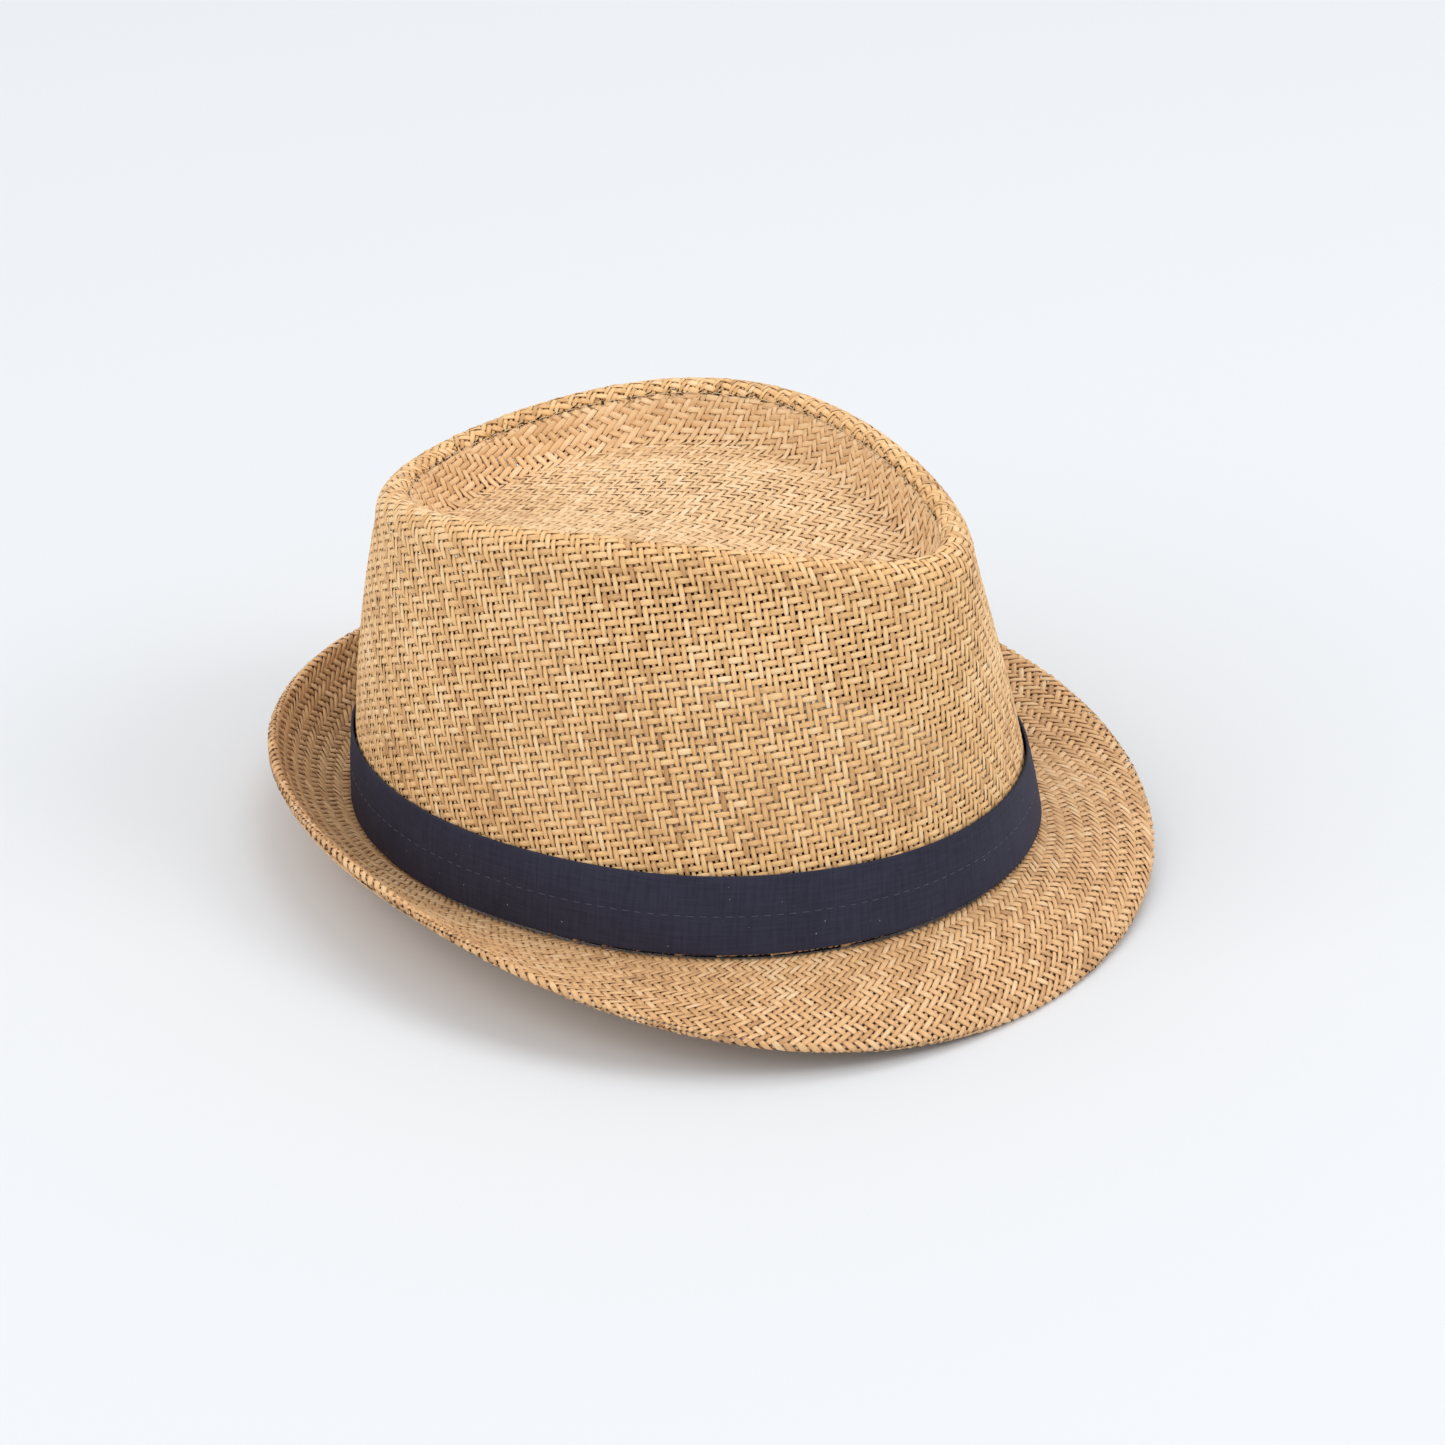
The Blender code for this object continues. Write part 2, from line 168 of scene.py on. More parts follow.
class Face:
    """A face of the hat as rings: sampled by angle and by distance along its section, in metres."""

    TURNS, ROWS = 720, 200

    def __init__(self, rows):
        """rows: a function of the grid of angles that gives its rows of points, outer face first."""
        self.angles = FRONT + 2 * pi * np.arange(self.TURNS) / self.TURNS
        raw = np.stack(rows(self.angles), axis=1)
        steps = np.linalg.norm(np.diff(raw, axis=1), axis=2)
        run = np.concatenate([np.zeros((self.TURNS, 1)), np.cumsum(steps, axis=1)], axis=1)
        self.length = run[:, -1]
        self.grid = np.empty((self.TURNS, self.ROWS, 3))
        shares = np.linspace(0, 1, self.ROWS)
        for k in range(self.TURNS):
            for axis in range(3):
                self.grid[k, :, axis] = np.interp(shares * self.length[k], run[k], raw[k, :, axis])
        around = np.roll(self.grid, -1, axis=0) - np.roll(self.grid, 1, axis=0)
        self.normals = unit(np.cross(around, np.gradient(self.grid, axis=1)))

    def place(self, a):
        where = (np.asarray(a) - FRONT) / (2 * pi) * self.TURNS
        low = np.floor(where).astype(int)
        return low % self.TURNS, (low + 1) % self.TURNS, where - low

    def reach(self, a):
        low, high, part = self.place(a)
        return self.length[low] * (1 - part) + self.length[high] * part

    def at(self, a, distance):
        """Point and unit normal at an angle and a distance along the section."""
        low, high, part = self.place(a)
        row = np.clip(distance / self.reach(a), 0, 1) * (self.ROWS - 1)
        below = np.minimum(np.floor(row).astype(int), self.ROWS - 2)
        up, part = (row - below)[..., None], part[..., None]
        out = []
        for table in (self.grid, self.normals):
            first = table[low, below] * (1 - up) + table[low, below + 1] * up
            second = table[high, below] * (1 - up) + table[high, below + 1] * up
            out.append(first * (1 - part) + second * part)
        return out[0], unit(out[1])


# ---- Weaving: a 2/2 twill of flat paper strands, each one a closed ribbon that rides over two and under two.
STATIONS = np.array([-0.36, 0.5, 1.36, 1.64, 2.5, 3.36])
RISE = np.array([0.62, 1.12, 0.62, -0.62, -1.0, -0.62])
WIDE = (np.array([0.92, 1.0, 0.92, 0.78, 0.70, 0.78]), np.array([0.88, 1.0, 0.88, 0.76, 0.72, 0.76]))
# Darker where a strand dives under its neighbours: dirt, and painted shade in the recess there.
DIVE_DIRT_AND_SHADE = np.array([-0.12, 0.08, -0.12, -0.32, -0.36, -0.32])


def mesh_object(name, points, quads, corner_uv, strand_uv=None, tone=None):
    mesh = bpy.data.meshes.new(name)
    mesh.vertices.add(len(points))
    mesh.vertices.foreach_set("co", np.ascontiguousarray(points, np.float32).ravel())
    mesh.loops.add(quads.size)
    mesh.loops.foreach_set("vertex_index", quads.astype(np.int32).ravel())
    mesh.polygons.add(len(quads))
    mesh.polygons.foreach_set("loop_start", np.arange(0, quads.size, 4, dtype=np.int32))
    for title, values in (("OFBake", corner_uv), ("StrandUV", strand_uv)):
        if values is not None:
            layer = mesh.uv_layers.new(name=title)
            layer.uv.foreach_set("vector", np.ascontiguousarray(values, np.float32).ravel())
    if tone is not None:
        layer = mesh.attributes.new("tone", "FLOAT", "POINT")
        layer.data.foreach_set("value", np.ascontiguousarray(tone, np.float32))
    mesh.update(calc_edges=True)
    mesh.shade_smooth()
    piece = bpy.data.objects.new(name, mesh)
    bpy.context.scene.collection.objects.link(piece)
    return piece


def on_stance(points):
    """From the hat's own frame to the row frame, with what would dip below the ground pressed flat."""
    turn = np.array(STANCE)
    placed = points @ turn[:3, :3].T + turn[:3, 3]
    placed[..., 2] = np.maximum(placed[..., 2], 0.02 * MM)
    return placed


class Weave:
    """One family of strands in a cloth, gathered strand by strand into one mesh."""

    def __init__(self, face, depth, lift, width, thickness, flip=1.0):
        """depth: how far the cloth's middle lies below the face; lift: how far strands ride off it."""
        self.face, self.depth, self.lift = face, depth, lift
        self.width, self.thickness, self.flip = width, thickness, flip
        self.points, self.quads, self.uv, self.strand_uv, self.tone = [], [], [], [], []
        self.count, self.rows = 0, 0

    def add(self, a, distance, rise, wide, tone):
        """A strand through places on the face, with its rise, its share of width and its tone at each."""
        if len(a) < 2:
            return
        place, normal = self.face.at(a, distance)
        normal = normal * self.flip
        centre = place + normal * (self.lift * rise - self.depth)[:, None]
        along = unit(np.gradient(centre, axis=0))
        side = unit(np.cross(normal, along))
        roll = rng.normal(0, 0.09) + rng.normal(0, 0.07, len(a))
        up = unit(np.cross(along, side))
        across = side * np.cos(roll)[:, None] + up * np.sin(roll)[:, None]
        up = unit(np.cross(along, across))
        half = (self.width * wide / 2)[:, None]
        thick = self.thickness
        ring = np.stack([centre - across * half - up * thick * 0.4,
                         centre - across * half * 0.76 + up * thick * 0.6,
                         centre + across * half * 0.76 + up * thick * 0.6,
                         centre + across * half - up * thick * 0.4], axis=1)
        n = len(a)
        base = self.count + 4 * np.arange(n - 1)[:, None]
        sides = np.arange(4)[None, :]
        after = (sides + 1) % 4
        quads = np.stack([base + sides, base + 4 + sides, base + 4 + after, base + after], axis=2)
        first = self.count + np.array([0, 1, 2, 3])
        last = self.count + 4 * (n - 1) + np.array([3, 2, 1, 0])
        run = np.concatenate([[0], np.cumsum(np.linalg.norm(np.diff(centre, axis=0), axis=1))])
        low, high = run[:-1, None] + 0 * sides, run[1:, None] + 0 * sides
        lane = self.rows + sides / 4 + 0 * low
        next_lane = np.array([0, 0.25])
        cap_places = (0.1, 0.4, 0.6, 0.9)
        near, far = np.stack([low, lane], 2), np.stack([high, lane], 2)
        corners = np.stack([near, far, far + next_lane, near + next_lane], axis=2)
        self.uv.append(corners.reshape(-1, 2))
        self.uv.append(np.array([[u, self.rows + v] for u in (0, run[-1]) for v in cap_places]))
        shift = rng.uniform(0, 50)
        round_it = sides / 4 + 0 * low
        near, far = np.stack([low + shift, round_it], 2), np.stack([high + shift, round_it], 2)
        corners = np.stack([near, far, far + next_lane, near + next_lane], axis=2)
        self.strand_uv.append(corners.reshape(-1, 2))
        self.strand_uv.append(np.array([[u + shift, v] for u in (0, run[-1]) for v in cap_places]))
        self.points.append(ring.reshape(-1, 3))
        self.quads += [quads.reshape(-1, 4), first[None], last[None]]
        self.tone.append(np.repeat(tone, 4))
        self.count += 4 * n
        self.rows += 1

    def build(self, name):
        uv = np.concatenate(self.uv)
        uv = uv / [uv[:, 0].max() * 1.001, self.rows]
        return mesh_object(name, on_stance(np.concatenate(self.points)), np.concatenate(self.quads), uv,
                           np.concatenate(self.strand_uv), np.concatenate(self.tone))


def smooth_noise(q, size, wave):
    """Seeded wander along a strand."""
    out = np.zeros_like(q)
    for scale in (1.0, 2.3, 5.1):
        out += rng.normal(0, 1) / scale ** 0.5 * np.sin(q * 2 * pi * scale / wave + rng.uniform(0, 2 * pi))
    return out * size


def lay_strand(weave, fixed, step, family, phase, low, high, to_face, margin, wander, uneven):
    """One strand at a fixed cloth coordinate, clipped to the cut; family 0 runs up the cloth, 1 across it."""
    turns = np.arange(np.floor((low / step - phase) / 4) - 1, np.ceil((high / step - phase) / 4) + 1)
    q = (turns[:, None] * 4 + phase + STATIONS).ravel()
    count = len(turns)
    looseness = np.repeat(rng.normal(1, 0.1, 2 * count), 3)
    rise = np.tile(RISE, count) * looseness
    girth = 1 + rng.normal(0, 0.035) + smooth_noise(q, uneven, 19.0)
    wide = np.tile(WIDE[family], count) * np.clip(girth, 0.7, 1.12)
    # Tone: random per strand and per float, plus the dirt and painted shade at each dive.
    tone = rng.normal(0, 0.24) + np.repeat(rng.normal(0, 0.2, 2 * count), 3) + np.tile(DIVE_DIRT_AND_SHADE, count)
    off = fixed + smooth_noise(q, wander, 23.0)
    x, y = (off, q * step) if family == 0 else (q * step, off)
    room = margin(x, y)
    inside = np.flatnonzero(room > 0)
    if not len(inside):
        return
    for group in np.split(inside, np.flatnonzero(np.diff(inside) > 1) + 1):
        first, last = group[0], group[-1]
        keep = [np.array(v[first:last + 1]) for v in (x, y, rise, wide, tone)]
        for end, other, where in ((first, first - 1, 0), (last, last + 1, len(group))):
            if 0 <= other < len(q):
                part = room[end] / max(room[end] - room[other], 1e-9)
                if part > 0.08:
                    keep = [np.insert(v, where, old[end] + (old[other] - old[end]) * part)
                            for v, old in zip(keep, (x, y, rise, wide, tone))]
                    where = len(keep[0]) - 1 if where else 0
        a, distance = to_face(keep[0], keep[1])
        weave.add(a, distance, keep[2], keep[3], keep[4])


def weave_pair(name, face, depth, pitches, widths, lift, thick, spans, to_face, margin, flip=1.0,
               wander=(0.05, 0.05), uneven=0.035):
    """Both families of a cloth: pitches and widths of the upright and the crosswise strands in metres.
    spans gives for each family its strand numbers and, for one, the range that it runs over."""
    pieces = []
    for family, word in enumerate(("warp", "weft")):
        weave = Weave(face, depth, lift, widths[family], thick, flip)
        numbers, run = spans[family]
        for number in numbers:
            phase = (-number if family == 0 else 2 - number) % 4
            low, high = run(number)
            lay_strand(weave, number * pitches[family], pitches[1 - family], family, phase, low, high,
                       to_face, margin, wander[family] * MM, uneven)
        pieces.append(weave.build(f"{name}_{word}"))
    return pieces


# ---- Faces of the straw cloths.
def crown_rows(a):
    rows = [wall(a, crest(a, np.zeros_like(a))[..., 2] * share) for share in np.linspace(0.006, 0.985, 60)]
    rows += [crest(a, np.full_like(a, turn)) for turn in np.linspace(0, 1, 16)]
    rows += [dish_side(a, np.full_like(a, share)) for share in np.linspace(0, SEAM_LINE - 0.012, 8)[1:]]
    return rows + [sunk(a, SEAM_LINE, 0.0), sunk(a, SEAM_LINE + 0.012, 0.12 * MM)]


def sunk(a, share, depth):
    point = dish_side(a, np.full_like(a, share))
    point[..., 2] -= depth
    return point


def tip_rows(a):
    rows = [sunk(a, SEAM_LINE - 0.03, 0.85 * MM), sunk(a, SEAM_LINE - 0.005, 0.55 * MM),
            sunk(a, SEAM_LINE + 0.012, 0.38 * MM)]
    rows += [dish_side(a, np.full_like(a, share)) for share in np.linspace(SEAM_LINE + 0.03, 1, 40)]
    rows += [dish_floor(a, np.full_like(a, share)) for share in np.linspace(0, 1, 60)[1:]]
    return rows


BRIM_MIDDLE = (BRIM_CORE + BRIM_CLOTH) / 2


def brim_top_rows(a):
    rows = [brim(a, np.full_like(a, share), BRIM_MIDDLE) for share in np.linspace(0, 1, 40)]
    return rows + [brim_roll(a, np.full_like(a, turn), BRIM_MIDDLE) for turn in np.linspace(0, 1, 14)[1:]]


def brim_under_rows(a):
    return [brim(a, np.full_like(a, share), -BRIM_MIDDLE) for share in np.linspace(0, 0.985, 40)]


def ring_share(curve):
    """Angles from the back round to the back again, and the share of the curve's length up to each."""
    angles = FRONT + np.linspace(-pi, pi, 1441)
    steps = np.linalg.norm(np.diff(curve(angles), axis=0), axis=1)
    run = np.concatenate([[0], np.cumsum(steps)])
    return angles, run / run[-1] - 0.5, run[-1]


# The crown side: cloth cut as a curved band, its grain upright at the front.
CUT_RADIUS, CUT_ANGLE = 461 * MM, 1.3
CROWN_PITCH, CROWN_WIDTHS = (1.7 * MM, 2.36 * MM), (1.5 * MM, 1.84 * MM)


def between(table, row, left, part):
    """A table's value in a row, part of the way from one column to the next."""
    return table[row, left] * (1 - part) + table[row, left + 1] * part


def ring_table(face):
    """For each row of a face, the angle at even shares of the ring's length, counted from the front."""
    angles = FRONT + np.linspace(-pi, pi, face.TURNS + 1)
    even = np.linspace(-0.5, 0.5, face.TURNS + 1)
    half = face.TURNS // 2
    table = np.empty((face.ROWS, face.TURNS + 1))
    for row in range(face.ROWS):
        ring = np.roll(face.grid[:, row], half, axis=0)
        ring = np.concatenate([ring, ring[:1]])
        run = np.concatenate([[0], np.cumsum(np.linalg.norm(np.diff(ring, axis=0), axis=1))])
        table[row] = np.interp(even, run / run[-1] - 0.5, angles)
    return table


def make_crown_side():
    face = Face(crown_rows)
    table = ring_table(face)

    def polar(x, y):
        """A place on the flat cut as its turn and radius there, and its angle round the hat."""
        turn, radius = np.arctan2(x, CUT_RADIUS - y), np.hypot(x, CUT_RADIUS - y)
        column = np.clip(turn / CUT_ANGLE + 0.5, 0, 1) * face.TURNS
        left = np.minimum(column.astype(int), face.TURNS - 1)
        part = column - left
        a = between(table, 0, left, part)
        for _ in range(3):
            row = np.clip((CUT_RADIUS - radius) / face.reach(a), 0, 1) * (face.ROWS - 1)
            low = np.minimum(row.astype(int), face.ROWS - 2)
            up = row - low
            a = between(table, low, left, part) * (1 - up) + between(table, low + 1, left, part) * up
        return turn, radius, a

    def to_face(x, y):
        _, radius, a = polar(x, y)
        return a, CUT_RADIUS - radius

    def margin(x, y):
        turn, radius, a = polar(x, y)
        height = CUT_RADIUS - radius
        return np.minimum(np.minimum((CUT_ANGLE / 2 - np.abs(turn)) * radius, height), face.reach(a) - height)

    wide = CUT_RADIUS * sin(CUT_ANGLE / 2)
    tall = CUT_RADIUS - (CUT_RADIUS - face.length.max()) * cos(CUT_ANGLE / 2)
    upright = range(-int(wide / CROWN_PITCH[0]), int(wide / CROWN_PITCH[0]) + 1)
    crosswise = range(0, int(tall / CROWN_PITCH[1]) + 1)
    spans = ((upright, lambda n: (0, tall)), (crosswise, lambda n: (-wide, wide)))
    return weave_pair("crown_side", face, STRAW / 2, CROWN_PITCH, CROWN_WIDTHS, 0.19 * MM, 0.24 * MM,
                      spans, to_face, margin, wander=(0.05, 0.07), uneven=0.04)


# The tip: flat cloth laid across the floor and eased up the dish's side, its grain turned a little.
TIP_PITCH, TIP_WIDTHS = (2.1 * MM, 2.34 * MM), (1.96 * MM, 1.98 * MM)
TIP_EASE, TIP_GRAIN, TIP_REACH = 1.2, radians(9.5), 110 * MM


def make_crown_tip():
    face = Face(tip_rows)
    face.normals[:, -4:] = (0, 0, 1)
    angles = FRONT + np.linspace(-pi, pi, 1441)
    edge = floor_edge(angles) - vec(0, FLOOR_CENTRE_Y, 0)
    bearing = np.unwrap(np.arctan2(edge[:, 1], edge[:, 0]))

    def to_face(x, y):
        u = x * cos(TIP_GRAIN) - y * sin(TIP_GRAIN)
        v = x * sin(TIP_GRAIN) + y * cos(TIP_GRAIN)
        turn = np.arctan2(v, u)
        turn = bearing[0] + (turn - bearing[0]) % (2 * pi)
        a = np.interp(turn, bearing, angles)
        radius, flat = np.hypot(u, v), np.interp(turn, bearing, np.hypot(edge[:, 0], edge[:, 1]))
        return a, face.reach(a) - np.where(radius > flat, flat + (radius - flat) / TIP_EASE, radius)

    def margin(x, y):
        return to_face(x, y)[1]

    counts = [int(TIP_REACH / pitch) for pitch in TIP_PITCH]
    spans = [(range(-count, count + 1), lambda n: (-TIP_REACH, TIP_REACH)) for count in counts]
    return weave_pair("crown_tip", face, STRAW / 2, TIP_PITCH, TIP_WIDTHS, 0.18 * MM, 0.24 * MM,
                      spans, to_face, margin, wander=(0.05, 0.07))


# Both brim cloths: a bias strip closed into a ring.
BIAS = radians(48)
BRIM_COUNTS, BRIM_WIDTHS = (276, 236), (1.56 * MM, 1.88 * MM)


def make_brim(name, rows, flip):
    """A bias strip eased into a ring; the counts of strands close the ring without a break."""
    face = Face(rows)
    angles, share, around = ring_share(lambda a: brim(a, np.full_like(a, 0.5), 0.0))
    c, s = cos(BIAS), sin(BIAS)
    pitches = (around * c / BRIM_COUNTS[0], around * s / BRIM_COUNTS[1])

    def to_face(x, y):
        part = ((x * c - y * s) / around + 0.5) % 1 - 0.5
        return np.interp(part, share, angles), x * s + y * c

    def margin(x, y):
        a, out = to_face(x, y)
        return np.minimum(out, face.reach(a) - out)

    far = face.length.max()
    spans = ((range(BRIM_COUNTS[0]), lambda n: (-n * pitches[0] * s / c, (far - n * pitches[0] * s) / c)),
             (range(BRIM_COUNTS[1]), lambda n: (-n * pitches[1] * c / s, (far - n * pitches[1] * c) / s)))
    return weave_pair(name, face, 0.0, pitches, BRIM_WIDTHS, 0.19 * MM, 0.25 * MM, spans,
                      to_face, margin, flip=flip, wander=(0.05, 0.07))


# ---- Materials.
class Shading:
    """A Principled material with small helpers for wiring its nodes."""

    def __init__(self, name):
        self.material = bpy.data.materials.new(name)
        self.material.use_nodes = True
        self.tree = self.material.node_tree
        self.shader = self.tree.nodes["Principled BSDF"]

    def node(self, kind, **settings):
        node = self.tree.nodes.new(kind)
        for key, value in settings.items():
            setattr(node, key, value)
        return node

    def link(self, source, target):
        if isinstance(source, (int, float, tuple)):
            target.default_value = source
        else:
            self.tree.links.new(source, target)

    def math(self, operation, a, b=0.0, c=0.0, clamp=False):
        node = self.node("ShaderNodeMath", operation=operation, use_clamp=clamp)
        for value, socket in zip((a, b, c), node.inputs):
            self.link(value, socket)
        return node.outputs[0]

    def noise(self, scale, vector, detail=3.0, rough=0.55):
        node = self.node("ShaderNodeTexNoise")
        self.link(scale, node.inputs["Scale"])
        self.link(detail, node.inputs["Detail"])
        self.link(rough, node.inputs["Roughness"])
        self.link(vector, node.inputs["Vector"])
        return node.outputs["Fac"]

    def uv(self, name):
        return self.node("ShaderNodeUVMap", uv_map=name).outputs[0]

    def here(self):
        return self.node("ShaderNodeTexCoord").outputs["Object"]

    def scaled(self, vector, x, y, z=1.0):
        node = self.node("ShaderNodeMapping")
        self.link(vector, node.inputs["Vector"])
        node.inputs["Scale"].default_value = (x, y, z)
        return node.outputs[0]

    def ramp(self, value, stops):
        node = self.node("ShaderNodeValToRGB")
        ramp = node.color_ramp
        while len(ramp.elements) < len(stops):
            ramp.elements.new(0.5)
        for element, (place, colour) in zip(ramp.elements, stops):
            element.position = place
            element.color = (*colour, 1)
        self.link(value, node.inputs[0])
        return node.outputs[0]

    def mix(self, share, a, b):
        node = self.node("ShaderNodeMix", data_type="RGBA")
        self.link(share, node.inputs["Factor"])
        for socket, value in ((node.inputs[6], a), (node.inputs[7], b)):
            self.link((*value, 1) if isinstance(value, tuple) else value, socket)
        return node.outputs[2]

    def bump(self, height, distance, strength=1.0):
        node = self.node("ShaderNodeBump")
        node.inputs["Strength"].default_value = strength
        node.inputs["Distance"].default_value = distance
        self.link(height, node.inputs["Height"])
        self.link(node.outputs[0], self.shader.inputs["Normal"])

    def finish(self, colour, roughness, sheen=0.0, tint=(1, 1, 1), specular=0.5):
        self.link(colour, self.shader.inputs["Base Color"])
        self.link(roughness, self.shader.inputs["Roughness"])
        self.shader.inputs["Sheen Weight"].default_value = sheen
        self.shader.inputs["Sheen Roughness"].default_value = 0.5
        self.shader.inputs["Sheen Tint"].default_value = (*tint, 1)
        self.shader.inputs["Specular IOR Level"].default_value = specular
        return self.material


def straw_material(name, dark, middle, light):
    """Paper straw: tone from strand to strand with dirt and painted shade at the dives, fibres along it,
    edges darkened as painted shade, dull gloss.
    """
    m = Shading(name)
    strand = m.uv("StrandUV")
    fibres = m.noise(1.0, m.scaled(strand, 260, 9), 4.0, 0.6)
    flecks = m.noise(1.0, m.scaled(strand, 900, 3), 2.0)
    patches = m.noise(38.0, m.here(), 3.0)
    tone = m.node("ShaderNodeAttribute", attribute_name="tone").outputs["Fac"]
    level = m.math("MULTIPLY_ADD", tone, 0.36, 0.5)
    level = m.math("MULTIPLY_ADD", m.math("SUBTRACT", fibres, 0.5), 0.55, level)
    level = m.math("MULTIPLY_ADD", m.math("SUBTRACT", patches, 0.5), 0.5, level)
    level = m.math("MULTIPLY_ADD", m.math("SUBTRACT", flecks, 0.5), 0.2, level, clamp=True)
    colour = m.ramp(level, ((0.0, dark), (0.5, middle), (1.0, light)))
    # Painted shade: each strand's colour darkens towards its two edges.
    split = m.node("ShaderNodeSeparateXYZ")
    m.link(strand, split.inputs[0])
    edge = m.math("ABSOLUTE", m.math("SUBTRACT", split.outputs[1], 0.375))
    edge = m.math("SMOOTH_MIN", m.math("MULTIPLY", edge, 2.4), 1.0, 0.1)
    edge = m.math("POWER", edge, 3.0, clamp=True)
    colour = m.mix(m.math("MULTIPLY", edge, 0.6), colour, dark)
    m.bump(m.math("ADD", fibres, m.math("MULTIPLY", flecks, 0.5)), 0.12 * MM, 0.55)
    rough = m.math("MULTIPLY_ADD", fibres, 0.25, 0.42)
    return m.finish(colour, rough, sheen=0.12, tint=(1.0, 0.9, 0.75), specular=0.4)


def cotton_material(name, deep, lit, threads=2600.0, sheen=0.25, lint=0.0, uv=True, vary=0.5):
    """Fine plain-woven cloth: two families of yarns, heathered yarn by yarn, with soft sheen and lint."""
    m = Shading(name)
    place = m.uv("Cloth") if uv else m.here()
    split = m.node("ShaderNodeSeparateXYZ")
    m.link(place, split.inputs[0])
    x, y = split.outputs[0], split.outputs[1] if uv else split.outputs[2]
    wave_x = m.math("SINE", m.math("MULTIPLY", x, threads * 2 * pi))
    wave_y = m.math("SINE", m.math("MULTIPLY", y, threads * 2 * pi))
    weave = m.math("MULTIPLY_ADD", m.math("MULTIPLY", wave_x, wave_y), 0.5, 0.5)
    yarns_up = m.noise(1.0, m.scaled(place, 1100, 90, 90), 2.0)
    yarns_over = m.noise(1.0, m.scaled(place, 90, 1300, 1300), 2.0)
    cloudy = m.noise(55.0, m.here(), 3.0)
    level = m.math("MULTIPLY_ADD", m.math("SUBTRACT", yarns_up, 0.5), 1.2 * vary, 0.45)
    level = m.math("MULTIPLY_ADD", m.math("SUBTRACT", yarns_over, 0.5), 0.9 * vary, level)
    level = m.math("MULTIPLY_ADD", m.math("SUBTRACT", cloudy, 0.5), 0.7 * vary, level)
    level = m.math("MULTIPLY_ADD", m.math("SUBTRACT", weave, 0.5), 0.35, level, clamp=True)
    colour = m.mix(level, deep, lit)
    if lint:
        speck = m.noise(900.0, m.here(), 1.0)
        speck = m.math("MULTIPLY", m.math("GREATER_THAN", speck, 0.80), lint)
        colour = m.mix(speck, colour, (0.35, 0.35, 0.40))
    m.bump(m.math("ADD", weave, m.math("ADD", yarns_up, yarns_over)), 0.05 * MM, 0.6)
    rough = m.math("MULTIPLY_ADD", yarns_up, 0.15, 0.72)
    return m.finish(colour, rough, sheen=sheen, tint=lit, specular=0.25)


def thread_material(name, deep, lit):
    """Twisted sewing thread."""
    m = Shading(name)
    twist = m.noise(1400.0, m.here(), 2.0)
    colour = m.mix(twist, deep, lit)
    m.bump(twist, 0.05 * MM, 0.5)
    return m.finish(colour, m.math("MULTIPLY_ADD", twist, 0.2, 0.45), sheen=0.2, tint=lit, specular=0.4)


def steel_material(name):
    m = Shading(name)
    scratch = m.noise(600.0, m.scaled(m.here(), 1, 1, 6), 3.0)
    m.shader.inputs["Metallic"].default_value = 1.0
    m.bump(scratch, 0.02 * MM, 0.4)
    return m.finish(m.mix(scratch, (0.42, 0.42, 0.44), (0.62, 0.62, 0.64)),
                    m.math("MULTIPLY_ADD", scratch, 0.2, 0.25))


# ---- Sewn cloth pieces: a folded strip's section carried round the hat.
def strip_section(half_thick, height, rows, across=5):
    """The closed outline of a folded strip: (share of height, distance out) with rounded folds."""
    fold = half_thick / height
    outer = [(s, half_thick) for s in np.linspace(fold, 1 - fold, rows)]
    top = [(1 - fold + fold * sin(t), half_thick * cos(t)) for t in np.linspace(0, pi, across + 2)[1:-1]]
    inner = [(s, -half_thick) for s in np.linspace(1 - fold, fold, rows)]
    bottom = [(fold - fold * sin(t), -half_thick * cos(t)) for t in np.linspace(0, pi, across + 2)[1:-1]]
    return np.array(outer + top + inner + bottom)


def swept_strip(name, angles, section, place, scale, closed=True):
    """A strip's section swept over angles; place(angle, share, out) gives the points."""
    count, size = len(angles), len(section)
    grid = place(angles[:, None] + 0 * section[None, :, 0], section[None, :, 0] + 0 * angles[:, None],
                 section[None, :, 1] + 0 * angles[:, None])
    k = np.arange(count if closed else count - 1)[:, None]
    j = np.arange(size)[None, :]
    following, beside = (k + 1) % count, (j + 1) % size
    quads = np.stack([k * size + j, following * size + j, following * size + beside, k * size + beside], 2)
    quads = quads.reshape(-1, 4)
    run = np.concatenate([[0], np.cumsum(np.linalg.norm(np.diff(section * scale, axis=0), axis=1))])
    run = np.append(run, run[-1] + np.linalg.norm((section[0] - section[-1]) * scale))
    reach = np.linspace(0, 1, count + (1 if closed else 0))
    length = np.linalg.norm(np.diff(grid[:, 0], axis=0), axis=1).sum() * (1 + (1.0 / count if closed else 0))
    u = np.stack([reach[k + 0 * j], reach[k + 1 + 0 * j], reach[k + 1 + 0 * j], reach[k + 0 * j]], 2)
    v = np.stack([run[j + 0 * k], run[j + 0 * k], run[j + 1 + 0 * k], run[j + 1 + 0 * k]], 2)
    bake = np.stack([u, v / run[-1] * 0.98], 3).reshape(-1, 2)
    cloth = np.stack([u * length, v], 3).reshape(-1, 2)
    if not closed:
        half = size // 2
        low = np.arange(half - 1)
        for ring, order in ((0, 1), (count - 1, -1)):
            base = ring * size
            facing = base + size - 1 - low
            cap = np.stack([base + low, base + low + 1, facing - 1, facing], 1)[:, ::order]
            quads = np.concatenate([quads, cap])
            corner = np.tile([[0, 0.985], [0.01, 0.985], [0.01, 0.995], [0, 0.995]], (len(cap), 1))
            bake, cloth = np.concatenate([bake, corner]), np.concatenate([cloth, corner * 0.01])
    piece = mesh_object(name, on_stance(grid.reshape(-1, 3)), quads, bake)
    layer = piece.data.uv_layers.new(name="Cloth")
    layer.uv.foreach_set("vector", np.ascontiguousarray(cloth, np.float32).ravel())
    return piece


